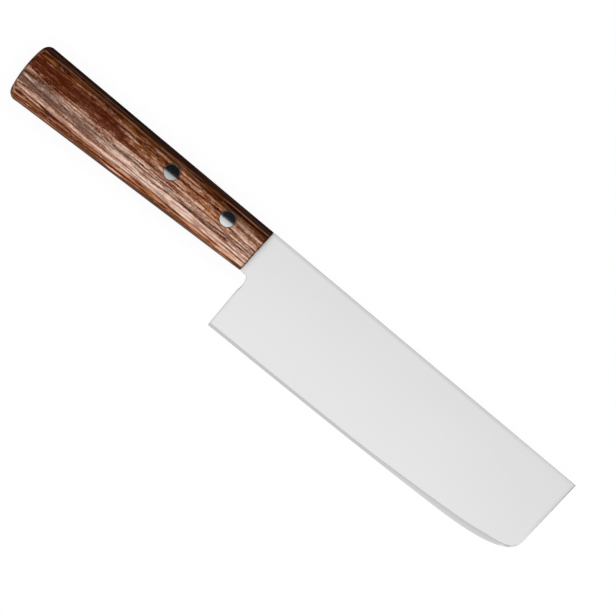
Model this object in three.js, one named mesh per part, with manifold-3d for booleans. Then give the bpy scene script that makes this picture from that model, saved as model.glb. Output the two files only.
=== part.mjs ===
// Vegetable knife with a usuba outline, lying on its left flank. A stamped steel blade has a half tang, which
// sits in a kerf sawn along the top of a one-piece handle of resin-filled laminated wood. Two cutler's rivets
// hold it, each a sleeve and a post driven together from the two flanks and dressed flush with them.
// X runs from the butt towards the tip, Y from the edge towards the spine, and Z through the blade.
// While it is built, X is 0 at the front of the handle, Y is 0 on the spine and Z is 0 in the blade's middle.

import * as THREE from 'three';
import { LoftGeometry } from 'three/addons/geometries/LoftGeometry.js';
import { mergeVertices, toCreasedNormals } from 'three/addons/utils/BufferGeometryUtils.js';
import Module from 'manifold-3d';

// Driving dimensions, in millimetres.

// Blade outline
const bladeLength = 165; // heel to tip along the spine
const heelHeight = 48.5; // spine to heel corner
const edgeTangent = 76.5; // run of the edge's tangent at the heel
const edgeTangentRise = 1.03; // rise of that tangent over its run
const bellyStart = 111.6; // heel to where the edge sweeps up
const bellyHeight = 46.2; // spine to edge at that point
const bellyTangent = 20.4; // how far the edge's direction carries into the belly
const tipHeight = 33.2; // straight stretch of the blunt end
const tipSetback = 1.9; // foot of that stretch behind its spine corner
const tipTangent = 12; // how far the blunt end's direction carries into the belly
const neckLength = 3.5; // handle to heel line
const choilRadius = 3.2; // fillet from the neck into the heel line
const choilUndercut = 1.1; // how far the fillet bites past the heel line
const choilRunout = 6.5; // length in which it comes back to that line

// Blade section
const bladeThickness = 1.9; // sheet, at the spine and the tang
const shoulderThickness = 0.5; // ground thickness above the edge bevel at the heel
const edgeThickness = 0.06; // the edge itself
const edgeTrim = 0.02; // sheared rim that sharpening takes off
const cornerEase = 0.3; // chamfer that breaks the blank's corners
const ricassoLength = 1; // full thickness ahead of the handle
const heelBevelWidth = 1.45; // edge bevel along the straight stretch
const bellyBevelWidth = 2.7; // edge bevel along the belly
const bevelSwell = 65; // length in which the one grows into the other
const bevelSwellLag = 30; // where that ends, past the start of the belly
const bevelFade = 17; // length in which the bevel dies out at the tip

// Tang and kerf
const tangHeight = 16.6;
const tangLength = 78; // along the top of the handle
const sawRadius = 50; // run-out that the saw leaves at the back of the kerf
const kerfClearance = 0.15; // glue film on each side of the tang

// Handle
const handleLength = 127;
const frontHeight = 21.7;
const frontThickness = 15.5;
const frontLean = 0.85; // how far the front face leans back at its foot
const frontEase = 0.5; // rounding round the front face
const buttHeight = 28;
const buttThickness = 17.5;
const buttRadius = 67; // camber of the butt
const buttRound = 3; // rounding round the butt
const sectionPower = 2.8; // 2 is an ellipse, and higher is squarer

// Rivets
const frontRivetSetback = 18.8; // handle front to front rivet
const rearRivetInset = 28.1; // tang's tail to rear rivet
const headDiameter = 7;
const headThickness = 2.5; // at the rivet's centre
const sleeveDiameter = 5;
const postDiameter = 3.2;
const postFit = 0.1; // between the post and the sleeve's bore
const rivetFit = 0.1; // between a rivet and the wood or steel round it
const rivetEndGap = 0.4; // left ahead of a rivet's end when it is driven home

// Fineness of the facets
const curveSteps = 24;
const ringSteps = 48;
const roundSteps = 4;
const rivetSteps = 32;
const creaseAngle = Math.PI / 6;

// How far a cutter reaches past what it cuts
const overrun = 1;

const { lerp, smoothstep } = THREE.MathUtils;
const wasm = await Module();
wasm.setup();

function toSolid(geometry) {
  const bare = new THREE.BufferGeometry();
  bare.setAttribute('position', geometry.attributes.position);
  bare.setIndex(geometry.index);
  const merged = mergeVertices(bare);
  const vertProperties = merged.attributes.position.array;
  const triVerts = Uint32Array.from(merged.index.array);
  return new wasm.Manifold(new wasm.Mesh({ numProp: 3, vertProperties, triVerts }));
}

function toGeometry(solid) {
  const { vertProperties, triVerts } = solid.getMesh();
  const geometry = new THREE.BufferGeometry();
  geometry.setAttribute('position', new THREE.BufferAttribute(vertProperties, 3));
  geometry.setIndex(new THREE.BufferAttribute(triVerts, 1));
  return toCreasedNormals(geometry, creaseAngle);
}

function subtractAll(solid, cutters) {
  return cutters.reduce((left, cutter) => left.subtract(cutter), solid);
}

// A sheet of the given outline, half on each side of the blade's middle plane, with its corners broken.
function sheet(outline, thickness, ease) {
  const geometry = new THREE.ExtrudeGeometry(outline, {
    depth: thickness - 2 * ease,
    curveSegments: curveSteps,
    bevelEnabled: ease > 0,
    bevelSegments: 1,
    bevelSize: ease,
    bevelOffset: -ease,
    bevelThickness: ease,
  });
  return toSolid(geometry.translate(0, 0, ease - thickness / 2));
}

// A turned solid along Z. Its profile is a list of radius and height pairs that starts and ends on the axis.
function turned(profile, centre) {
  const points = profile.map(([radius, height]) => new THREE.Vector2(radius, height));
  const geometry = new THREE.LatheGeometry(points, rivetSteps);
  return toSolid(geometry.rotateX(Math.PI / 2).translate(centre.x, centre.y, 0));
}

function rod(radius, bottom, top, centre) {
  return turned([[0, bottom], [radius, bottom], [radius, top], [0, top]], centre);
}

// The front face of the handle is a plane that leans back towards its foot.
function handleFront(y) {
  return (frontLean * y) / frontHeight;
}

// The kerf's floor is flat and then follows the saw up to the top of the handle. The tang has the same
// outline, smaller by the clearance, so both turn about one centre.
const kerfDepth = tangHeight + kerfClearance;
const tangRadius = sawRadius - kerfClearance;
const sawCentre = new THREE.Vector2();
sawCentre.y = sawRadius - kerfDepth;
sawCentre.x = Math.sqrt(tangRadius ** 2 - sawCentre.y ** 2) - tangLength;

// Rivets stand on the tang's centre line.
const rivetCentres = {
  front: new THREE.Vector2(-frontRivetSetback, -tangHeight / 2),
  rear: new THREE.Vector2(rearRivetInset - tangLength, -tangHeight / 2),
};

// The edge runs from the heel, first almost straight and then round the belly into the blunt end.
const heel = new THREE.Vector2(neckLength, -heelHeight);
const edgePull = new THREE.Vector2(heel.x + edgeTangent, heel.y + edgeTangentRise);
const belly = new THREE.Vector2(heel.x + bellyStart, -bellyHeight);
const bellyPull = belly.clone().sub(edgePull).setLength(bellyTangent).add(belly);
const tip = new THREE.Vector2(heel.x + bladeLength, 0);
const tipFoot = new THREE.Vector2(tip.x - tipSetback, -tipHeight);
const tipPull = tipFoot.clone().sub(tip).setLength(tipTangent).add(tipFoot);
const edgeCurves = [
  new THREE.QuadraticBezierCurve(heel, edgePull, belly),
  new THREE.CubicBezierCurve(belly, bellyPull, tipPull, tipFoot),
];

function bladeOutline() {
  const outline = new THREE.Shape();
  const tailAngle = Math.PI + Math.asin(sawCentre.y / tangRadius);
  outline.absarc(sawCentre.x, sawCentre.y, tangRadius, tailAngle, 1.5 * Math.PI, false);
  outline.lineTo(handleFront(-tangHeight) + kerfClearance, -tangHeight);
  outline.lineTo(handleFront(-frontHeight) + kerfClearance, -frontHeight);

  const choilX = neckLength + choilUndercut;
  const choilY = -frontHeight - choilRadius;
  const heelLineY = choilY - choilRunout;
  outline.absarc(choilX - choilRadius, choilY, choilRadius, Math.PI / 2, 0, true);
  const halfway = (choilY + heelLineY) / 2;
  outline.bezierCurveTo(choilX, halfway, heel.x, halfway, heel.x, heelLineY);
  outline.lineTo(heel.x, heel.y);
  outline.curves.push(...edgeCurves);
  outline.currentPoint.copy(tipFoot);
  outline.lineTo(tip.x, tip.y);
  outline.closePath();
  return outline;
}

// Half the blade's thickness on the flat grind, which starts at the spine and thins towards the edge.
const grindSlope = (bladeThickness - shoulderThickness) / (2 * heelHeight);

function groundHalfThickness(y) {
  return bladeThickness / 2 + grindSlope * y;
}

// The steel that flat grinding takes off one side, ahead of the ricasso. Its section is drawn from the spine
// to the edge and then turned to run along the blade.
function grindCutter(side) {
  const foot = -heelHeight - overrun;
  const top = bladeThickness / 2 + overrun;
  const section = new THREE.Shape();
  section.moveTo(overrun, side * top);
  section.lineTo(overrun, side * groundHalfThickness(overrun));
  section.lineTo(foot, side * groundHalfThickness(foot));
  section.lineTo(foot, side * top);
  const length = tip.x + overrun - ricassoLength;
  const geometry = new THREE.ExtrudeGeometry(section, { depth: length, bevelEnabled: false });
  geometry.rotateZ(Math.PI / 2).rotateY(Math.PI / 2);
  return toSolid(geometry.translate(ricassoLength, 0, 0));
}

// The edge bevel is narrow along the straight stretch, swells along the belly and dies out at the tip.
function bevelWidth(x) {
  const swellEnd = belly.x + bevelSwellLag;
  const swell = smoothstep(x, swellEnd - bevelSwell, swellEnd);
  const fade = Math.sin((Math.PI / 2) * Math.min(1, Math.max(0, tipFoot.x - x) / bevelFade));
  return lerp(heelBevelWidth, bellyBevelWidth, swell) * fade;
}

// The steel that sharpening takes off both sides: a notched section swept along the edge, whose notch leaves
// the bevels. It reaches past the heel and, by half a bevel, past the ground faces.
function bevelCutter() {
  const reach = 1.5;
  const stations = edgeCurves.flatMap((curve, index) =>
    Array.from({ length: curveSteps + 1 }, (_, step) => step / curveSteps)
      .filter((share) => share > 0 || index === 0)
      .map((share) => ({ point: curve.getPoint(share), along: curve.getTangent(share) })),
  );
  const first = stations[0];
  stations.unshift({ ...first, point: first.point.clone().addScaledVector(first.along, -overrun) });

  const sections = stations.map(({ point, along }) => {
    const inwards = new THREE.Vector2(-along.y, along.x);
    const width = bevelWidth(point.x);
    const shoulder = point.clone().addScaledVector(inwards, edgeTrim + width);
    const halfEdge = edgeThickness / 2;
    const height = lerp(halfEdge, groundHalfThickness(shoulder.y), reach);
    const notch = [
      [-overrun, -height],
      [edgeTrim + reach * width, -height],
      [edgeTrim, -halfEdge],
      [edgeTrim, halfEdge],
      [edgeTrim + reach * width, height],
      [-overrun, height],
    ];
    return notch.map(([depth, z]) => {
      const { x, y } = point.clone().addScaledVector(inwards, depth);
      return new THREE.Vector3(x, y, z);
    });
  });
  return toSolid(new LoftGeometry(sections, { capStart: true, capEnd: true }));
}

function bladeSolid() {
  const blank = sheet(bladeOutline(), bladeThickness, cornerEase);
  const hole = (centre) => rod(sleeveDiameter / 2 + rivetFit, -bladeThickness, bladeThickness, centre);
  const holes = Object.values(rivetCentres).map(hole);
  return subtractAll(blank, [grindCutter(1), grindCutter(-1), bevelCutter(), ...holes]);
}

// Sizes of the handle at a share of its length behind the front face.
function handleSize(share) {
  return {
    halfHeight: lerp(frontHeight, buttHeight, share) / 2,
    halfThickness: lerp(frontThickness, buttThickness, share) / 2,
  };
}

// One ring round the handle, drawn in by an inset, moved forward, and shrunk towards the section's middle.
function handleRing(share, inset, forward, shrink) {
  const { halfHeight, halfThickness } = handleSize(share);
  const rounded = (value) => Math.sign(value) * Math.abs(value) ** (2 / sectionPower);
  return Array.from({ length: ringSteps }, (_, step) => {
    const angle = (2 * Math.PI * step) / ringSteps;
    const up = (halfHeight - inset) * shrink * rounded(Math.cos(angle));
    const y = up - halfHeight;
    const z = (halfThickness - inset) * shrink * rounded(Math.sin(angle));
    const camber = buttRadius - Math.sqrt(buttRadius ** 2 - up ** 2);
    const x = lerp(handleFront(y), camber - handleLength, share) + forward;
    return new THREE.Vector3(x, y, z);
  });
}

// The handle before it is sawn and bored: a rounded section that grows towards the cambered butt.
function handleBlank() {
  const buttFace = [1 / 3, 2 / 3].map((shrink) => handleRing(1, buttRound, 0, shrink));
  const buttCorner = Array.from({ length: roundSteps + 1 }, (_, step) => {
    const turn = ((Math.PI / 2) * step) / roundSteps;
    return handleRing(1, buttRound * (1 - Math.sin(turn)), buttRound * (1 - Math.cos(turn)), 1);
  });
  const frontCorner = [handleRing(0, 0, -frontEase, 1), handleRing(0, frontEase, 0, 1)];
  const rings = [...buttFace, ...buttCorner, ...frontCorner];
  return toSolid(new LoftGeometry(rings, { capStart: true, capEnd: true }));
}

function kerfCutter() {
  const outline = new THREE.Shape();
  const exitAngle = Math.PI + Math.asin((sawCentre.y - overrun) / sawRadius);
  outline.absarc(sawCentre.x, sawCentre.y, sawRadius, exitAngle, 1.5 * Math.PI, false);
  outline.lineTo(overrun, -kerfDepth);
  outline.lineTo(overrun, overrun);
  outline.closePath();
  return sheet(outline, bladeThickness + 2 * kerfClearance, 0);
}

// A rivet's blank and its bore reach this far from the blade's middle, which is outside the flanks.
const pastFlank = Math.max(frontThickness, buttThickness);

// How far a rivet head's underside lies from the blade's middle. The flank's crown at the rivet decides it.
function headSeat(centre) {
  const { halfHeight, halfThickness } = handleSize(-centre.x / handleLength);
  const offCentre = Math.abs(centre.y + halfHeight) / halfHeight;
  return halfThickness * (1 - offCentre ** sectionPower) ** (1 / sectionPower) - headThickness;
}

// A bore through the handle, with a seat for a head on each flank.
function rivetBore(centre) {
  const shank = sleeveDiameter / 2 + rivetFit;
  const head = headDiameter / 2 + rivetFit;
  const seat = headSeat(centre) - rivetFit;
  const profile = [[0, -pastFlank], [head, -pastFlank], [head, -seat], [shank, -seat]];
  const mirrored = profile.map(([radius, height]) => [radius, -height]).reverse();
  return turned([...profile, ...mirrored], centre);
}

// The sleeve's head is on the right flank. Its shank passes the tang and ends short of the post's head.
function sleeveBlank(centre) {
  const seat = headSeat(centre);
  const shank = sleeveDiameter / 2;
  const bore = postDiameter / 2 + postFit;
  const head = headDiameter / 2;
  const shankEnd = rivetEndGap - seat;
  return turned(
    [[0, seat], [bore, seat], [bore, shankEnd], [shank, shankEnd], [shank, seat], [head, seat],
      [head, pastFlank], [0, pastFlank]],
    centre,
  );
}

// The post's head is on the left flank, and its shank ends short of the bottom of the sleeve's bore.
function postBlank(centre) {
  const seat = headSeat(centre);
  const shank = postDiameter / 2;
  const head = headDiameter / 2;
  const shankEnd = seat - rivetEndGap;
  return turned(
    [[0, -pastFlank], [head, -pastFlank], [head, -seat], [shank, -seat], [shank, shankEnd], [0, shankEnd]],
    centre,
  );
}

const steel = { color: 0xdcdddd, roughness: 0.38, metalness: 1 };
const laminatedWood = { color: 0x82543e, roughness: 0.42, metalness: 0 };
const polishedSteel = { color: 0xc9cacb, roughness: 0.12, metalness: 1 };

const knife = new THREE.Group();

function addPiece(name, solid, finish) {
  const piece = new THREE.Mesh(toGeometry(solid), new THREE.MeshStandardMaterial(finish));
  piece.name = name;
  knife.add(piece);
}

const billet = handleBlank();
const bores = Object.values(rivetCentres).map(rivetBore);
addPiece('blade', bladeSolid(), steel);
addPiece('handle', subtractAll(billet, [kerfCutter(), ...bores]), laminatedWood);

// The heads are dressed flush, so they take the shape of the handle's flanks.
for (const [place, centre] of Object.entries(rivetCentres)) {
  addPiece(`${place}_rivet_sleeve`, sleeveBlank(centre).intersect(billet), polishedSteel);
  addPiece(`${place}_rivet_post`, postBlank(centre).intersect(billet), polishedSteel);
}

// The origin is under the middle of the knife, on the surface that it lies on.
const box = new THREE.Box3().setFromObject(knife);
const middle = box.getCenter(new THREE.Vector3());
knife.position.set(-middle.x, -middle.y, -box.min.z);

export default knife;
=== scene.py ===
import math

import bpy
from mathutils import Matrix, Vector
from mathutils.geometry import interpolate_bezier


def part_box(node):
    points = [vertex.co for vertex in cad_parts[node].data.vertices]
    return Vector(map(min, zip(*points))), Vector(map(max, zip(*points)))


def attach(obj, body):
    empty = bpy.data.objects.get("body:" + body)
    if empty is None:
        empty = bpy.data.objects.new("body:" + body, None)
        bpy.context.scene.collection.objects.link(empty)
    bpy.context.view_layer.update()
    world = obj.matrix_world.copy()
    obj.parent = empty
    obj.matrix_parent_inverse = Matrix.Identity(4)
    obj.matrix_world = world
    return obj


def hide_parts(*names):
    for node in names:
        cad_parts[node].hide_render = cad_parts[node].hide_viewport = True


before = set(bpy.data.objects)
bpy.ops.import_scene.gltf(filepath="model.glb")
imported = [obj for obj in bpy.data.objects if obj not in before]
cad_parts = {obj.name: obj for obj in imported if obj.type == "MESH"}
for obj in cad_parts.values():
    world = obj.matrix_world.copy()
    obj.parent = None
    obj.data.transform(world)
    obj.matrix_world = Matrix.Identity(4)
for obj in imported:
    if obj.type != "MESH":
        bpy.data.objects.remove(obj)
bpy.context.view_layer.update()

# Blade: one blank of stainless sheet with its half tang, ground on both sides from the spine to a thin
# edge and left with a fine satin finish. A narrow bevel is honed along the edge, and the corners of the
# spine, heel and end are broken. The tang stands in the handle's kerf with the rivets through it.
mm = 0.001
hair = 0.001 * mm
blade_low, blade_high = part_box("blade")
spine_y = blade_high.y
middle_z = (blade_low.z + blade_high.z) / 2
half_thickness = (blade_high.z - blade_low.z) / 2
blade_length = 165 * mm
neck_length = 3.5 * mm
front_x = blade_high.x - blade_length - neck_length

heel_height = 48.5 * mm
edge_tangent = Vector((76.5, 1.03, 0)) * mm
belly_start = 111.6 * mm
belly_height = 46.2 * mm
belly_tangent = 20.4 * mm
tip_height = 33.2 * mm
tip_setback = 1.9 * mm
tip_tangent = 12 * mm

shoulder_half_thickness = 0.25 * mm
grind_angle = math.atan((half_thickness - shoulder_half_thickness) / heel_height)
grind_start = 1 * mm
grind_runout = 0.5 * mm
corner_ease = 0.3 * mm
edge_trim = 0.02 * mm
heel_bevel_width = 1.45 * mm
belly_bevel_width = 2.7 * mm
bevel_swell = 65 * mm
bevel_swell_lag = 30 * mm
bevel_fade = 17 * mm

handle_front_height = 21.7 * mm
front_lean = 0.85 * mm
tang_height = 16.6 * mm
tang_length = 78 * mm
saw_radius = 50 * mm
kerf_clearance = 0.15 * mm
choil_width = 1.75 * mm
choil_drop = 4.5 * mm
choil_undercut = 0.4 * mm
choil_runout = 3.8 * mm

front_rivet_setback = 18.8 * mm
rear_rivet_inset = 28.1 * mm
sleeve_radius = 2.5 * mm
rivet_fit = 0.1 * mm

tang_steps = 16
choil_points = 17
edge_points = 41
belly_points = 61


def from_front(x, y):
    """A point x ahead of the handle's front and y above the spine, on the plane that the blade is made on."""
    return Vector((front_x + x, spine_y + y, 0))


def arc(centre, radius, start, end, steps):
    angles = [start + (end - start) * step / steps for step in range(steps + 1)]
    return [centre + radius * Vector((math.cos(angle), math.sin(angle), 0)) for angle in angles]


def handle_front(y):
    return front_lean * y / handle_front_height


tang_radius = saw_radius - kerf_clearance
saw_rise = saw_radius - tang_height - kerf_clearance
saw_centre = from_front(math.sqrt(tang_radius**2 - saw_rise**2) - tang_length, saw_rise)
tail_angle = math.pi + math.asin(saw_rise / tang_radius)
tang_line = arc(saw_centre, tang_radius, tail_angle, 1.5 * math.pi, tang_steps)
for height in (tang_height, handle_front_height):
    tang_line.append(from_front(handle_front(-height) + kerf_clearance, -height))

choil_deepest = from_front(neck_length + choil_undercut, -handle_front_height - choil_drop)
choil_start = choil_deepest + Vector((-choil_width, choil_drop, 0))
choil_end = choil_deepest - Vector((choil_undercut, choil_runout, 0))
round_pull = 0.55
start_pull = choil_start + Vector((round_pull * choil_width, 0, 0))
deep_pull = choil_deepest + Vector((0, round_pull * choil_drop, 0))
runout_pull = Vector((0, choil_runout / 2, 0))
choil_line = interpolate_bezier(choil_start, start_pull, deep_pull, choil_deepest, choil_points)
choil_line += interpolate_bezier(
    choil_deepest, choil_deepest - runout_pull, choil_end + runout_pull, choil_end, choil_points
)[1:]

heel = from_front(neck_length, -heel_height)
edge_pull = heel + edge_tangent
belly = from_front(neck_length + belly_start, -belly_height)
tip = from_front(neck_length + blade_length, 0)
tip_foot = tip - Vector((tip_setback, tip_height, 0))
belly_pull = belly + belly_tangent * (belly - edge_pull).normalized()
tip_pull = tip_foot + tip_tangent * (tip_foot - tip).normalized()
sheared_edge = interpolate_bezier(
    heel, heel.lerp(edge_pull, 2 / 3), belly.lerp(edge_pull, 2 / 3), belly, edge_points
)
sheared_edge += interpolate_bezier(belly, belly_pull, tip_pull, tip_foot, belly_points)[1:]


def smooth_step(value, start, end):
    share = min(1, max(0, (value - start) / (end - start)))
    return share * share * (3 - 2 * share)


def bevel_width(x):
    """The bevel is narrow along the straight stretch, swells along the belly and dies out at the tip."""
    swell_end = belly.x + bevel_swell_lag
    swell = smooth_step(x, swell_end - bevel_swell, swell_end)
    fade = math.sin(math.pi / 2 * min(1, max(0, tip_foot.x - x) / bevel_fade))
    return (heel_bevel_width + (belly_bevel_width - heel_bevel_width) * swell) * fade


def key(point):
    return round(point.x / mm, 4), round(point.y / mm, 4)


edge_line = []
shoulder_of = {}
for index, point in enumerate(sheared_edge):
    ahead = sheared_edge[min(index + 1, len(sheared_edge) - 1)] - sheared_edge[max(index - 1, 0)]
    inwards = Vector((-ahead.y, ahead.x, 0)).normalized()
    sharpened = point + inwards * edge_trim
    edge_line.append(sharpened)
    shoulder_of[key(sharpened)] = sharpened + inwards * bevel_width(point.x)


def let_go():
    bpy.ops.object.select_all(action="DESELECT")


def pick(piece):
    """Selects one piece alone and makes it the active one."""
    let_go()
    bpy.context.view_layer.objects.active = piece
    piece.select_set(True)


outline = tang_line + choil_line + edge_line + [tip]
let_go()
bpy.ops.mesh.primitive_circle_add(vertices=len(outline), radius=blade_length / 2, fill_type="NGON")
blade = bpy.context.object
blade.name = "satin_blade"
for vertex, point in zip(blade.data.vertices, outline):
    vertex.co = point


def edit(piece, kind, chosen):
    """Opens a piece in edit mode with the vertices, edges or faces selected that chosen() picks."""
    pick(piece)
    bpy.ops.object.mode_set(mode="EDIT")
    bpy.ops.mesh.select_mode(type=kind)
    bpy.ops.mesh.select_all(action="DESELECT")
    bpy.ops.object.mode_set(mode="OBJECT")
    parts = {"VERT": piece.data.vertices, "EDGE": piece.data.edges, "FACE": piece.data.polygons}[kind]
    for part in parts:
        part.select = bool(chosen(part))
    bpy.ops.object.mode_set(mode="EDIT")


def leave_edit():
    bpy.ops.object.mode_set(mode="OBJECT")


edit(blade, "FACE", lambda face: True)
bpy.ops.mesh.extrude_region_move(TRANSFORM_OT_translate={"value": (0, 0, half_thickness)})
leave_edit()
edit(blade, "FACE", lambda face: abs(face.center.z) < hair)
bpy.ops.mesh.delete(type="ONLY_FACE")
leave_edit()
for vertex in blade.data.vertices:
    if vertex.co.z > half_thickness / 2 and key(vertex.co) in shoulder_of:
        shoulder = shoulder_of[key(vertex.co)]
        vertex.co.x = shoulder.x
        vertex.co.y = shoulder.y

for cut_x in (grind_start, grind_start + grind_runout):
    edit(blade, "FACE", lambda face: True)
    bpy.ops.mesh.bisect(plane_co=(front_x + cut_x, 0, 0), plane_no=(1, 0, 0))
    leave_edit()
ground_from = front_x + grind_start + grind_runout / 2
edit(blade, "VERT", lambda vertex: vertex.co.z > half_thickness / 2 and vertex.co.x > ground_from)
bpy.ops.transform.rotate(value=-grind_angle, orient_axis="X", center_override=(0, spine_y, half_thickness))
leave_edit()


def on_edge(vertex):
    return vertex.co.z < hair and key(vertex.co) in shoulder_of


def all_of(mesh_part, test):
    return all(test(blade.data.vertices[index]) for index in mesh_part.vertices)


honed = blade.data.attributes.new("honed", "FLOAT", "FACE")
shoulder_line = blade.data.attributes.new("shoulder_line", "FLOAT", "POINT")
honed_faces = set()
for face in blade.data.polygons:
    low = [blade.data.vertices[index] for index in face.vertices if blade.data.vertices[index].co.z < hair]
    if len(low) == 2 and all(on_edge(vertex) for vertex in low):
        honed.data[face.index].value = 1
        honed_faces.add(face.index)
        for index in face.vertices:
            if not on_edge(blade.data.vertices[index]):
                shoulder_line.data[index].value = 1


def rises_at_edges(piece):
    """For each edge, the faces that meet there: how squarely each faces up or down, and its number."""
    rises = {}
    for face in piece.data.polygons:
        for edge_key in face.edge_keys:
            rises.setdefault(edge_key, []).append((abs(face.normal.z), face.index))
    return rises


def is_honed_line(edge):
    numbers = [number for rise, number in blade_rises[edge.key]]
    return len(numbers) == 2 and len(honed_faces.intersection(numbers)) == 1


def against_handle(vertex):
    return vertex.co.x < front_x + kerf_clearance + hair and vertex.co.y < spine_y - tang_height + hair


def is_outer_corner(edge):
    meeting = sorted(blade_rises[edge.key])
    if len(meeting) != 2 or honed_faces.intersection(number for rise, number in meeting):
        return False
    if all_of(edge, against_handle):
        return False
    return meeting[0][0] < 0.2 and meeting[1][0] > 0.9


blade_rises = rises_at_edges(blade)
edit(blade, "EDGE", lambda edge: is_honed_line(edge) or all_of(edge, on_edge))
bpy.ops.mesh.mark_sharp()
leave_edit()
edit(blade, "EDGE", is_outer_corner)
bpy.ops.mesh.bevel(
    offset=corner_ease, offset_type="OFFSET", segments=1, affect="EDGES", clamp_overlap=False
)
leave_edit()


def finish_with(piece, kind, **settings):
    """Adds a modifier to a piece and applies it."""
    pick(piece)
    bpy.ops.object.modifier_add(type=kind)
    modifier = piece.modifiers[-1]
    for name, setting in settings.items():
        setattr(modifier, name, setting)
    bpy.ops.object.modifier_apply(modifier=modifier.name)


finish_with(blade, "MIRROR", use_axis=(False, False, True), merge_threshold=hair)
edit(blade, "FACE", lambda face: True)
bpy.ops.mesh.normals_make_consistent(inside=False)
bpy.ops.transform.translate(value=(0, 0, middle_z))
leave_edit()

rivet_centres = {
    "front": from_front(-front_rivet_setback, -tang_height / 2),
    "rear": from_front(rear_rivet_inset - tang_length, -tang_height / 2),
}


def cut_away(piece, cutter):
    """Takes a cutter's shape out of a piece and throws the cutter away."""
    finish_with(piece, "BOOLEAN", operation="DIFFERENCE", object=cutter, solver="EXACT")
    bpy.data.objects.remove(cutter)


def add_rod(centre, radius, low, high, sides=96):
    """Adds an upright rod between two heights, which count from the blade's middle plane."""
    let_go()
    place = (centre.x, centre.y, middle_z + (low + high) / 2)
    bpy.ops.mesh.primitive_cylinder_add(vertices=sides, radius=radius, depth=high - low, location=place)
    bpy.ops.object.transform_apply()
    return bpy.context.object


def drill(piece, centre, radius, low, high):
    cut_away(piece, add_rod(centre, radius, low, high))


past_blade = 5 * mm
for centre in rivet_centres.values():
    drill(blade, centre, sleeve_radius + rivet_fit, -past_blade, past_blade)


def smooth_shade(piece, angle):
    """Shades a piece smoothly across every corner flatter than the angle in degrees."""
    pick(piece)
    bpy.ops.object.shade_smooth_by_angle(angle=math.radians(angle), keep_sharp_edges=True)


smooth_shade(blade, 40)
finish_with(blade, "WEIGHTED_NORMAL", mode="FACE_AREA", weight=100, keep_sharp=True)


class Socket:
    """An output of a shader node. Expressions on sockets and numbers add the Math nodes for them."""

    def __init__(self, tree, output=None):
        self.tree = tree
        self.output = output

    def node(self, kind, settings=None, inputs=None, output=0):
        made = self.tree.nodes.new(kind)
        for name, setting in (settings or {}).items():
            if name == "stops":
                stops = made.color_ramp.elements
                while len(stops) < len(setting):
                    stops.new(1)
                for stop, (position, colour) in zip(stops, setting):
                    stop.position = position
                    stop.color = (*colour, 1)
            else:
                setattr(made, name, setting)
        for name, value in (inputs or {}).items():
            if isinstance(value, Socket):
                self.tree.links.new(value.output, made.inputs[name])
            else:
                made.inputs[name].default_value = value
        if isinstance(output, tuple):
            return [Socket(self.tree, made.outputs[name]) for name in output]
        return Socket(self.tree, made.outputs[output] if made.outputs else None)

    def maths(self, operation, other=0.0):
        return self.node("ShaderNodeMath", {"operation": operation}, {0: self, 1: other})

    def reflected(self, operation, other):
        return self.node("ShaderNodeMath", {"operation": operation}, {0: other, 1: self})

    def __add__(self, other):
        return self.maths("ADD", other)

    __radd__ = __add__

    def __sub__(self, other):
        return self.maths("SUBTRACT", other)

    def __rsub__(self, other):
        return self.reflected("SUBTRACT", other)

    def __neg__(self):
        return self.reflected("SUBTRACT", 0.0)

    def __mul__(self, other):
        return self.maths("MULTIPLY", other)

    __rmul__ = __mul__

    def __truediv__(self, other):
        return self.maths("DIVIDE", other)

    def __rtruediv__(self, other):
        return self.reflected("DIVIDE", other)


def new_material(name):
    material = bpy.data.materials.new(name)
    material.use_nodes = True
    material.node_tree.nodes.clear()
    return material, Socket(material.node_tree)


def in_millimetres(start):
    """Object coordinates in millimetres from the top of the handle's front, on the blade's middle plane."""
    place = start.node("ShaderNodeTexCoord", output="Object")
    origin = (-front_x / mm, -spine_y / mm, -middle_z / mm)
    inputs = {"Vector": place, "Location": origin, "Scale": (1 / mm,) * 3}
    return start.node("ShaderNodeMapping", inputs=inputs)


def separate(vector):
    return vector.node("ShaderNodeSeparateXYZ", inputs={"Vector": vector}, output=("X", "Y", "Z"))


def noise(place, spots, detail=2.0, roughness=0.5):
    """Noise about zero, with the given number of spots to the millimetre along each axis."""
    spread = place.node("ShaderNodeMapping", inputs={"Vector": place, "Scale": spots})
    inputs = {"Vector": spread, "Scale": 1.0, "Detail": detail, "Roughness": roughness}
    return place.node("ShaderNodeTexNoise", inputs=inputs, output="Fac") - 0.5


def ramp(value, low, high):
    """Zero up to low, one from high on, and a smooth rise between them."""
    inputs = {"Value": value, "From Min": low, "From Max": high, "To Min": 0.0, "To Max": 1.0}
    return value.node("ShaderNodeMapRange", {"interpolation_type": "SMOOTHSTEP"}, inputs)


def tinted(tone, stops):
    return tone.node("ShaderNodeValToRGB", {"stops": stops}, {"Fac": tone})


def mix_colours(factor, first, second, blend="MIX"):
    settings = {"data_type": "RGBA", "blend_type": blend}
    return factor.node("ShaderNodeMix", settings, {0: factor, 6: first, 7: second}, output=2)


def grey(level):
    return level, level, level


black = (0, 0, 0, 1)
satin_greys = [(0, grey(0.552)), (1, grey(0.601))]
painted_bevel_greys = [(0, grey(0.32)), (0.25, grey(0.37)), (1, grey(0.75))]

satin_steel, start = new_material("satin_steel")
place = in_millimetres(start)
along, down = separate(place)[:2]
satin_lines = noise(place, (3.5, 0.04, 3.5), detail=4, roughness=0.6)
satin_patches = noise(place, (0.03, 0.06, 0.03), detail=1)
# Besides the satin lines, the tone darkens towards the tip: painted shade.
satin_and_shade_tone = 0.5 + 0.8 * satin_lines + 0.5 * satin_patches - 0.3 * ramp(along, 105, 170)
steel_colour = tinted(satin_and_shade_tone, satin_greys)

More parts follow.
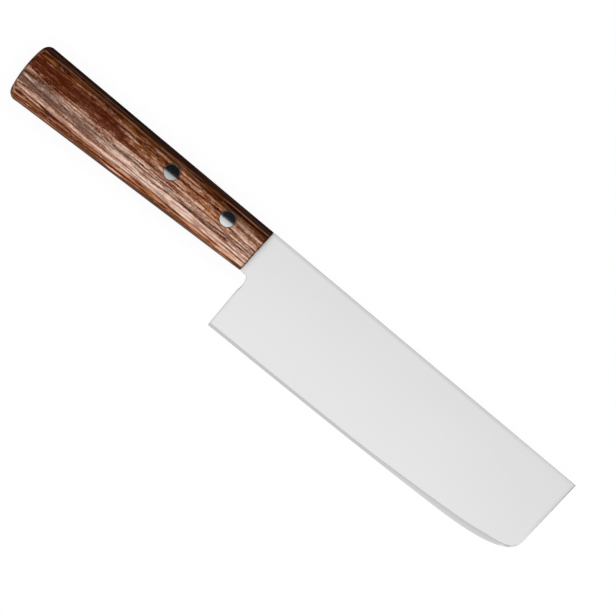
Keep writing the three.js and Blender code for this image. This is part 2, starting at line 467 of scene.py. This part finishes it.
from_tip = (neck_length + blade_length) / mm - along + tip_setback / tip_height * down
# Painted shade: narrow strips along the spine, at the tip's end and at the heel are darkened.
spine_shade = (1 - ramp(-down, 0.7, 2)) * (1 - 0.6 * ramp(along, 115, 155))
tip_shade = 0.75 * (1 - ramp(from_tip, 0.4, 1.9)) * (1 - ramp(-down, 22, 34))
heel_shade = 0.4 * (1 - ramp(along, 3.9, 5.1)) * ramp(-down, 24, 30)
painted_edge_shade = spine_shade.maths("MAXIMUM", tip_shade).maths("MAXIMUM", heel_shade)
steel_colour = mix_colours(0.14 * painted_edge_shade, steel_colour, black)

honed_mask = start.node("ShaderNodeAttribute", {"attribute_name": "honed"}, output="Fac")
shoulder = start.node("ShaderNodeAttribute", {"attribute_name": "shoulder_line"}, output="Fac")
# Painted shade and highlight on the honed bevel: its greys are darker than the satin faces, darkest along the
# shoulder line and lighter along the belly, with a painted glint where the bevel runs out at the tip.
painted_bevel_tone = 0.4 + ramp(along, 70, 115) * (0.76 - 1.16 * shoulder * shoulder)
painted_bevel_tone = painted_bevel_tone + 2.5 * ramp(along, 158, 163)
steel_colour = mix_colours(honed_mask, steel_colour, tinted(0.25 * painted_bevel_tone, painted_bevel_greys))

steel_roughness = 0.3 + 0.05 * satin_lines + 0.04 * satin_patches
steel_roughness = steel_roughness - 0.2 * honed_mask * (1 - 0.8 * ramp(along, 157, 160))
satin_bump = start.node(
    "ShaderNodeBump", inputs={"Strength": 0.04, "Distance": 0.02 * mm, "Height": satin_lines}, output="Normal"
)
shader = start.node("ShaderNodeBsdfPrincipled", inputs={
    "Base Color": steel_colour, "Metallic": 1.0, "Roughness": steel_roughness, "Normal": satin_bump,
})
start.node("ShaderNodeOutputMaterial", inputs={"Surface": shader})
blade.data.materials.append(satin_steel)

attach(blade, "root")
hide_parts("blade")

# Handle: one billet of resin-filled laminated wood, its veneers lying parallel to the blade. It is shaped to
# a full oval that swells towards a cambered butt, sawn from the front and top for the tang, bored for the
# rivets and buffed.
handle_length = 127 * mm
front_size = Vector((0, handle_front_height, 15.5 * mm))
butt_size = Vector((0, 28 * mm, 17.5 * mm))
section_power = 2.8
section_reach = 1.0177
section_chamfer = 0.593
front_ease = 0.5 * mm
front_ease_steps = 3
butt_round = 3 * mm
butt_round_steps = 8
butt_camber_radius = 67 * mm
butt_crown_rise = 1.4 * mm
butt_ring_shares = (0.8, 0.75, 0.67, 0.5)
head_radius = 3.5 * mm
head_thickness = 2.5 * mm
kerf_half_width = half_thickness + kerf_clearance
kerf_overrun = 3 * mm
past_flank = 12 * mm

let_go()
bpy.ops.mesh.primitive_cube_add(size=2)
handle = bpy.context.object
handle.name = "laminated_handle"


def vertices_of(piece, part):
    return [piece.data.vertices[index].co for index in part.vertices]


def runs_lengthwise(edge):
    first, second = vertices_of(handle, edge)
    return abs(first.x - second.x) > 1


edit(handle, "EDGE", runs_lengthwise)
bpy.ops.mesh.bevel(offset=1 - section_chamfer / section_reach, segments=1, affect="EDGES")
leave_edit()
edit(handle, "FACE", lambda face: abs(face.normal.x) > 0.9)
bpy.ops.mesh.delete(type="ONLY_FACE")
leave_edit()
for side, end_x, size in ((1, 0, front_size), (-1, -handle_length, butt_size)):
    half_section = (1, section_reach * size.y / 2, section_reach * size.z / 2)
    edit(handle, "VERT", lambda vertex: vertex.co.x * side > 0.5)
    bpy.ops.transform.resize(value=half_section, center_override=(0, 0, 0))
    bpy.ops.transform.translate(value=(front_x + end_x - side, spine_y - size.y / 2, middle_z))
    leave_edit()
finish_with(handle, "SUBSURF", levels=5, render_levels=5)


def end_ring(edge, end_x):
    return all(abs(point.x - front_x - end_x) < hair for point in vertices_of(handle, edge))


for end_x, ease, steps in ((0, front_ease, front_ease_steps), (-handle_length, butt_round, butt_round_steps)):
    edit(handle, "EDGE", lambda edge: end_ring(edge, end_x))
    bpy.ops.mesh.edge_face_add()
    bpy.ops.mesh.normals_make_consistent(inside=False)
    leave_edit()
    edit(handle, "EDGE", lambda edge: end_ring(edge, end_x))
    bpy.ops.mesh.bevel(offset=ease, segments=steps, affect="EDGES", clamp_overlap=False)
    leave_edit()

butt_x = front_x - handle_length
butt_y = spine_y - butt_size.y / 2
butt_crown_y = butt_y + butt_crown_rise
for share in butt_ring_shares:
    edit(handle, "FACE", lambda face: len(face.vertices) > 90 and face.center.x < front_x - handle_length / 2)
    bpy.ops.mesh.extrude_region_move()
    bpy.ops.transform.resize(value=(1, share, share), center_override=(butt_x, butt_y, middle_z))
    leave_edit()
for vertex in handle.data.vertices:
    if vertex.co.x < butt_x + 1.5 * butt_round:
        rise = vertex.co.y - butt_crown_y
        vertex.co.x += butt_camber_radius - math.sqrt(butt_camber_radius**2 - rise**2)
lean_angle = math.atan(front_lean / handle_front_height)
edit(handle, "VERT", lambda vertex: vertex.co.x > front_x - front_ease * 1.2)
bpy.ops.transform.rotate(value=lean_angle, orient_axis="Z", center_override=(front_x, spine_y, middle_z))
leave_edit()
edit(handle, "FACE", lambda face: True)
bpy.ops.mesh.normals_make_consistent(inside=False)
leave_edit()
pick(handle)
bpy.ops.object.duplicate()
billet = bpy.context.object
billet.name = "uncut_billet"

kerf_back = saw_centre.x
kerf_floor = spine_y - tang_height - kerf_clearance
kerf_size = (front_x + kerf_overrun - kerf_back, spine_y + kerf_overrun - kerf_floor, 2 * kerf_half_width)
kerf_place = (kerf_back + kerf_size[0] / 2, kerf_floor + kerf_size[1] / 2, middle_z)
let_go()
bpy.ops.mesh.primitive_cube_add(size=1, location=kerf_place, scale=kerf_size)
bpy.ops.object.transform_apply()
cut_away(handle, bpy.context.object)
cut_away(handle, add_rod(saw_centre, saw_radius, -kerf_half_width, kerf_half_width, sides=256))


def head_seat(centre):
    """How far the underside of a rivet's head lies from the blade's middle plane."""
    share = (front_x - centre.x) / handle_length
    size = front_size.lerp(butt_size, share)
    across = abs(centre.y - spine_y + size.y / 2) / (size.y / 2)
    return size.z / 2 * (1 - across**section_power) ** (1 / section_power) - head_thickness


for centre in rivet_centres.values():
    seat = head_seat(centre) - rivet_fit
    drill(handle, centre, sleeve_radius + rivet_fit, -past_flank, past_flank)
    drill(handle, centre, head_radius + rivet_fit / 2, seat, past_flank)
    drill(handle, centre, head_radius + rivet_fit / 2, -past_flank, -seat)
smooth_shade(handle, 30)

veneer_pair = 1.0
wood_tones = [
    (0.0, (0.03, 0.004, 0.001)), (0.2, (0.1, 0.017, 0.003)), (0.45, (0.27, 0.1, 0.046)),
    (0.65, (0.43, 0.21, 0.13)), (0.85, (0.62, 0.39, 0.285)), (1.0, (0.78, 0.57, 0.47)),
]
orange_wood = (0.36, 0.12, 0.026, 1)
red_wood = (0.085, 0.012, 0.002, 1)
mauve_wood = (0.105, 0.056, 0.044, 1)
amber_wood = (0.31, 0.12, 0.035, 1)
pale_wood = (0.7, 0.49, 0.39, 1)
# Dark brown for the resin lines and mottling, also used for painted shade at the front edge and painted
# shadow round the rivets.
resin_and_shade_brown = (0.02, 0.004, 0.001, 1)
painted_top_shade = (0.46, 0.41, 0.35, 1)
painted_top_rim_shade = (0.21, 0.15, 0.12, 1)
painted_bottom_rim_shade = (0.36, 0.3, 0.25, 1)
painted_butt_shade = (0.62, 0.6, 0.58, 1)


def vector_of(x, y, z):
    return x.node("ShaderNodeCombineXYZ", inputs={"X": x, "Y": y, "Z": z})


def band(value, middle, half_width, softness):
    """One inside a strip of the given middle and half width, and zero outside its soft borders."""
    distance = (value - middle).maths("ABSOLUTE")
    return 1 - ramp(distance, half_width - softness / 2, half_width + softness / 2)


laminated_wood, start = new_material("laminated_wood")
place = in_millimetres(start)
along, down, out = separate(place)
facing = start.node("ShaderNodeNewGeometry", output="Normal")
end_facing, side_facing = separate(facing)[:2]
side_grain = ramp(side_facing.maths("ABSOLUTE"), 0.12, 0.4)
end_grain = ramp(end_facing.maths("ABSOLUTE"), 0.6, 0.95)
steep = side_grain.maths("MAXIMUM", end_grain)

sway = noise(place, (0.02, 0.05, 0.05), detail=1)
ripple = noise(place, (0.06, 0.12, 0.1))
front_half = front_size.z / 2 / mm
growth = (butt_size.z - front_size.z) / 2 / handle_length
level = out * front_half / (front_half - growth * along) + 0.3 * ripple
veneers = ramp((level * (2 * math.pi / veneer_pair) + 1.2).maths("SINE"), -0.6, 0.6) - 0.5
veneer = (level / veneer_pair).maths("FLOOR")

height = down + 1.2 * sway + 0.8 * ripple
fibre = vector_of(along, height, out)
wide_streaks = noise(vector_of(along, height, veneer), (0.014, 0.3, 2.7))
streaks = noise(fibre, (0.03, 0.6, 0.8), roughness=0.6)
grain = noise(fibre, (0.05, 0.95, 1.1), detail=3, roughness=0.65) * (1 - 0.6 * end_grain)
dashes = noise(fibre, (0.3, 0.9, 0.9), detail=3, roughness=0.75)
dashes = dashes * (1 - 0.6 * end_grain) * (1 - 0.35 * side_grain)
hue = noise(fibre, (0.06, 0.35, 0.4))
dark_grain = ramp(-grain, 0.03, 0.1)
pale_grain = ramp(grain, 0.03, 0.11)
pores = ramp(noise(fibre, (0.16, 1.5, 1.5), roughness=0.7), 0.06, 0.17)
pores = pores * (1 - 0.7 * end_grain) * (1 - 0.4 * side_grain)
specks = noise(fibre, (1.0, 1.6, 1.6), roughness=0.7) * (1 - 0.8 * steep)
figure = noise(fibre, (0.014, 0.16, 0.2))
ring_lines = ramp((2.9 * height + 34 * figure).maths("SINE"), 0.35, 0.95)
ring_lines = ring_lines * ramp(hue + 1.5 * dashes, -0.2, 0.15)
glints = ramp(dashes, 0.04, 0.15)

shown_side = 0.55 + 0.45 * ramp(out, -2, 2)
rearwards = along + 60 * wide_streaks
bottom_slope = (butt_size.y - front_size.y) / handle_length
from_bottom = down + handle_front_height / mm - bottom_slope * along
near_top = 1 - ramp(-down, 3.5, 6.5)
near_bottom = 0.8 * (1 - ramp(from_bottom, 4, 8))
grain_fan = (down + 8.4) / (1 - 0.00225 * along)
edge_lines = (4.33 * grain_fan + 2.24 + 2 * sway + 2 * ripple).maths("SINE")
edge_lines = edge_lines * near_top.maths("MAXIMUM", near_bottom) * (1 - end_grain)

top_depth = 0.8 * ramp(along, -100, -70) + 1.8 * ramp(along, -45, -10)
shaded_top_zone = 1 - ramp(-height - top_depth, 3.2, 4.8)
lower_zone = ramp(-height, 11.5, 14.5)
bottom_zone = 1 - ramp(from_bottom + 0.021 * along, 1.05, 2.05)
front_zone = ramp(rearwards, -26, -8) * (1 - shaded_top_zone)
top_rim_in_shade = 1 - ramp(-down, 0.8, 3.4)
bottom_rim_in_shade = 1 - ramp(from_bottom - 0.7 * ramp(along, -90, -40), 0.2, 1.0)
front_edge_shade = ramp(along - front_lean / handle_front_height * down, -0.8, -0.3)
butt_end_in_shade = ramp(-end_facing, 0.45, 0.8)
red_fade = ramp(along + 30 * wide_streaks + 30 * hue, -78, -66)
red_band = band(height + 3 * hue, -9.1, 2.8, 1.4) * (1 - red_fade)
red_mottle = 0.45 * red_band * ramp(-specks - dashes, 0.02, 0.12)
mauve_patch = band(height + 5 * hue, -18, 1.5, 1.6) * (1 - ramp(rearwards, -92, -60))
amber_patch = band(height + hue, -8.7, 1.6, 1.5) * band(along + 20 * hue, -58, 6, 5)
amber_patch = amber_patch * ramp(dashes, -0.1, 0.1)
# The two pale bands along the lower flank are partly pale veneer and partly painted highlight.
pale_streak_and_highlight = band(height + 0.6 * hue, -21.1, 1.25, 0.7) * band(rearwards, -84, 18, 16)
pale_belly_and_highlight = band(height + 2 * hue, -18.6, 1.5, 2) * band(rearwards, -48, 22, 16)
pale_run = band(height + 1.5 * hue, -11.6, 1.2, 1.4) * ramp(along + 20 * hue, -68, -50)
pale_run = pale_run * (0.32 - 0.14 * ramp(along, -50, -35))
dark_line = band(height + 2.5 * streaks - 1.9 * ramp(along, -34, -6), -15.3, 0.4, 0.5)

# The top band is darkened as painted shade; the lower half is lightened, partly paler wood and partly painted
# sheen; the bottom is darkened, partly darker veneer and partly painted shade.
zones = 0.22 * lower_zone - 0.1 * shaded_top_zone - 0.38 * bottom_zone
zones = zones + 0.22 * front_zone * (1 - 0.6 * lower_zone) + 0.14 * shaded_top_zone * ramp(along, -45, -10)
zones = zones + 0.26 * pale_streak_and_highlight + 0.18 * pale_belly_and_highlight + pale_run + 0.23 * edge_lines
zones = zones - 0.07 * (1 - ramp(along, -112, -88))
wood_tone = 0.42 + shown_side * zones + (0.24 - 0.12 * end_grain) * steep * veneers
wood_tone = wood_tone + 0.75 * wide_streaks + 1.2 * streaks + dashes + 0.9 * specks
wood_tone = wood_tone + 0.28 * pale_grain - 0.3 * dark_grain - 0.56 * ring_lines

wood_colour = tinted(wood_tone, wood_tones)
wood_colour = mix_colours(0.6 * ramp(hue, 0.07, 0.2), wood_colour, orange_wood)
wood_colour = mix_colours(0.3 * side_grain * ramp(veneers, 0, 0.4), wood_colour, orange_wood)
# Painted shade: the band along the top of the handle is darkened.
wood_colour = mix_colours(shown_side * shaded_top_zone, wood_colour, painted_top_shade, "MULTIPLY")
wood_colour = mix_colours(0.25 * ramp(-hue, 0.09, 0.22), wood_colour, mauve_wood)
redness = red_band * (0.95 - 0.24 * ramp(streaks, 0, 0.15))
wood_colour = mix_colours(shown_side * redness, wood_colour, red_wood)
wood_colour = mix_colours(shown_side * red_mottle, wood_colour, resin_and_shade_brown)
wood_colour = mix_colours(0.78 * shown_side * mauve_patch, wood_colour, mauve_wood)
wood_colour = mix_colours(0.6 * shown_side * amber_patch, wood_colour, amber_wood)
wood_colour = mix_colours(0.65 * shown_side * dark_line, wood_colour, resin_and_shade_brown)
# Painted sheen: the lower half, and the front to a lesser degree, are greyed as under a pale haze of
# reflection.
greyed = shown_side * lower_zone.maths("MAXIMUM", 0.5 * front_zone) * (1 - 0.8 * mauve_patch)
greyed = greyed * ramp(from_bottom, 2.2, 4.2)
wood_colour = start.node(
    "ShaderNodeHueSaturation", inputs={"Saturation": 0.86, "Fac": greyed, "Color": wood_colour}
)
quiet = (1 - 0.85 * red_band) * (1 - 0.8 * shaded_top_zone)
wood_colour = mix_colours(0.3 * glints * quiet, wood_colour, pale_wood)
wood_colour = mix_colours(0.45 * pores, wood_colour, red_wood)
# Painted shade: the top edge is darkened more towards its rim.
wood_colour = mix_colours(top_rim_in_shade, wood_colour, painted_top_rim_shade, "MULTIPLY")
# Painted shade: the bottom edge is darkened towards its rim.
wood_colour = mix_colours(shown_side * bottom_rim_in_shade, wood_colour, painted_bottom_rim_shade, "MULTIPLY")
# Painted shade: the butt's end face is darkened.
wood_colour = mix_colours(butt_end_in_shade, wood_colour, painted_butt_shade, "MULTIPLY")
# Painted shade: the eased front edge is darkened.
wood_colour = mix_colours(0.7 * front_edge_shade, wood_colour, resin_and_shade_brown)
for centre in rivet_centres.values():
    ahead = along - (centre.x - front_x) / mm
    above = down - (centre.y - spine_y) / mm
    from_rivet = (ahead * ahead + above * above).maths("SQRT")
    # Painted shadow: a dark ring round each rivet head, strongest on the spine side.
    painted_rivet_shadow = (1 - ramp(from_rivet, 3.6, 4.3)) * (0.4 + 0.25 * ramp(above, -0.5, 2))
    wood_colour = mix_colours(painted_rivet_shadow, wood_colour, resin_and_shade_brown)

wood_roughness = 0.42 + 0.1 * pores + 0.2 * grain
wood_relief = grain - 0.5 * pores
wood_bump = start.node(
    "ShaderNodeBump", inputs={"Strength": 0.2, "Distance": 0.05 * mm, "Height": wood_relief}, output="Normal"
)
shader = start.node("ShaderNodeBsdfPrincipled", inputs={
    "Base Color": wood_colour, "Roughness": wood_roughness, "Specular IOR Level": 0.07,
    "Specular Tint": (1, 0.5, 0.28, 1), "Normal": wood_bump,
})
start.node("ShaderNodeOutputMaterial", inputs={"Surface": shader})
handle.data.materials.append(laminated_wood)

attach(handle, "root")
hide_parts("handle")

# Rivets: two-part cutler's rivets of stainless steel. The sleeve goes in from the right flank, the post is
# driven into it from the left, and both heads are ground flush with the wood and polished.
post_radius = 1.6 * mm
post_fit = 0.1 * mm
end_gap = 0.4 * mm
rim_ease = 0.1 * mm
head_blank = 6 * mm
rivet_greys = [(0, (0.42, 0.43, 0.445)), (1, (0.51, 0.52, 0.535))]

polished_steel, start = new_material("polished_steel")
place = in_millimetres(start)
along = separate(place)[0]
scratches = noise(place, (0.8, 14, 14), detail=3)
smears = noise(place, (0.4, 0.4, 0.4))
rivet_colour = tinted(0.5 + 0.25 * scratches + 0.3 * smears, rivet_greys)
# The rear rivet's colour is made darker than the front one's.
rear_rivet_darkening = 0.24 * (1 - ramp(along, -40, -30))
rivet_colour = mix_colours(rear_rivet_darkening, rivet_colour, black)
rivet_roughness = 0.1 + 0.015 * scratches + 0.03 * smears
shader = start.node("ShaderNodeBsdfPrincipled", inputs={
    "Base Color": rivet_colour, "Metallic": 1.0, "Roughness": rivet_roughness,
})
start.node("ShaderNodeOutputMaterial", inputs={"Surface": shader})

for end, centre in rivet_centres.items():
    seat = head_seat(centre)
    shank_length = 2 * seat - end_gap
    for part, side in (("sleeve", 1), ("post", -1)):
        rivet = add_rod(centre, head_radius, *sorted((side * seat, side * (seat + head_blank))))
        rivet.name = f"{end}_{part}"
        shank_radius = sleeve_radius if part == "sleeve" else post_radius
        edit(rivet, "FACE", lambda face: face.normal.z * side < -0.9)
        bpy.ops.mesh.inset(thickness=head_radius - shank_radius)
        bpy.ops.mesh.extrude_region_move(TRANSFORM_OT_translate={"value": (0, 0, -side * shank_length)})
        if part == "sleeve":
            bpy.ops.mesh.inset(thickness=sleeve_radius - post_radius - post_fit)
            bpy.ops.mesh.extrude_region_move(TRANSFORM_OT_translate={"value": (0, 0, side * shank_length)})
        leave_edit()
        finish_with(rivet, "BOOLEAN", operation="INTERSECT", object=billet, solver="EXACT")
        rivet_rises = rises_at_edges(rivet)

        def is_rim(edge):
            lowest, highest = sorted(rise for rise, number in rivet_rises[edge.key])
            outermost = all((point.z - middle_z) * side > seat + 1 * mm for point in vertices_of(rivet, edge))
            return outermost and lowest < 0.2 and highest > 0.8

        edit(rivet, "EDGE", is_rim)
        bpy.ops.mesh.bevel(offset=rim_ease, segments=2, affect="EDGES", clamp_overlap=False)
        leave_edit()
        smooth_shade(rivet, 20)
        rivet.data.materials.append(polished_steel)
        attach(rivet, "root")
        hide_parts(f"{end}_rivet_{part}")
bpy.data.objects.remove(billet)

# Studio: a white sheet and surround that only the camera sees, a long softbox overhead that ends just past
# the spine, and a broad one on the edge side that the steel doesn't mirror. The room is dim, with a dark
# wall high on the spine side and a bright table all round. The camera looks straight down on the right flank.
white = (1, 1, 1, 1)
contact_shade = (0.93, 0.93, 0.93, 1)
contact_reach = 10 * mm
sheet_gap = 0.2 * mm
sheet_size = 8
surround_radius = 7

let_go()
bpy.ops.mesh.primitive_plane_add(size=sheet_size, location=(0, 0, -sheet_gap))
floor = bpy.context.object
floor.name = "white_floor"
bpy.ops.mesh.primitive_uv_sphere_add(segments=48, ring_count=24, radius=surround_radius)
surround = bpy.context.object
surround.name = "white_surround"
plain_white, start = new_material("plain_white")
open_sky = start.node("ShaderNodeAmbientOcclusion", {"samples": 8}, {"Distance": contact_reach}, output="AO")
shade = mix_colours(open_sky, contact_shade, white)
glow = start.node("ShaderNodeEmission", inputs={"Color": shade, "Strength": 1.0})
start.node("ShaderNodeOutputMaterial", inputs={"Surface": glow})
for backdrop in (floor, surround):
    backdrop.data.materials.append(plain_white)
    backdrop.visible_diffuse = False
    backdrop.visible_glossy = False
    backdrop.visible_transmission = False
    backdrop.visible_shadow = False

room_greys = [
    (0.0, grey(0.8)),
    (0.2, grey(0.8)),
    (0.25, grey(0.54)),
    (0.4, grey(0.55)),
    (0.5, grey(0.5)),
    (0.555, (0.015, 0.015, 0.017)),
    (0.74, (0.025, 0.025, 0.028)),
    (0.87, (0.2, 0.2, 0.205)),
    (1.0, (0.42, 0.42, 0.43)),
]
spine_side_wall = (0.43, 0.43, 0.44, 1)
table_shadow = (0.02, 0.02, 0.02, 1)

world = bpy.data.worlds.new("dim_room")
world.use_nodes = True
world.node_tree.nodes.clear()
start = Socket(world.node_tree)
direction = start.node("ShaderNodeTexCoord", output="Generated")
ahead, spine_side, rise = separate(direction)
room = tinted(0.5 + 0.5 * spine_side, room_greys)
room = mix_colours(0.4 * ahead * ahead, room, black)
dark_wall = ramp(rise, 0.5, 0.76) * (1 - ramp(ahead.maths("ABSOLUTE"), 0.3, 0.55))
room = mix_colours((1 - dark_wall) * ramp(spine_side, -0.05, 0.1), room, spine_side_wall)
table_glow = 1 - ramp(rise.maths("ABSOLUTE"), 0.1, 0.6)
room = mix_colours(table_glow, room, white)
under_table = ramp(-rise, 0.3, 0.6) * ramp(spine_side, 0.1, 0.4)
room = mix_colours(0.9 * under_table, room, table_shadow)
sky = start.node("ShaderNodeBackground", inputs={"Color": room, "Strength": 1.0})
start.node("ShaderNodeOutputWorld", inputs={"Surface": sky})
bpy.context.scene.world = world


def softbox(name, centre, tilt, length, width, brightness, mirrored):
    """A rectangular light, tilted by degrees towards the knife. A white sheet has a brightness of 1."""
    bpy.ops.object.light_add(type="AREA", location=centre, rotation=(math.radians(tilt), 0, 0))
    light = bpy.context.object
    light.name = name
    light.data.shape = "RECTANGLE"
    light.data.size = length
    light.data.size_y = width
    light.data.energy = brightness * math.pi * length * width
    light.visible_camera = False
    light.visible_glossy = mirrored


softbox(
    "overhead_softbox", centre=(0, -0.231, 0.9), tilt=0, length=1.5, width=0.752, brightness=1.125,
    mirrored=True,
)
softbox(
    "edge_side_softbox", centre=(0, -0.79, 0.42), tilt=62, length=3.0, width=1.1, brightness=0.8,
    mirrored=False,
)

frame_width = 263.87 * mm
frame_x = 11.1 * mm
frame_y = 8.85 * mm
knife_turn = math.radians(39.95)
lens = 250
sensor = 36
camera_data = bpy.data.cameras.new("overhead_camera")
camera_data.lens = lens
camera_data.sensor_width = sensor
camera_data.sensor_fit = "HORIZONTAL"
camera_data.clip_end = 20
camera = bpy.data.objects.new("overhead_camera", camera_data)
camera.location = (frame_x, frame_y, middle_z + frame_width * lens / sensor)
camera.rotation_euler = (0, 0, knife_turn)
bpy.context.scene.collection.objects.link(camera)
bpy.context.scene.camera = camera
bpy.context.scene.view_settings.view_transform = "Standard"
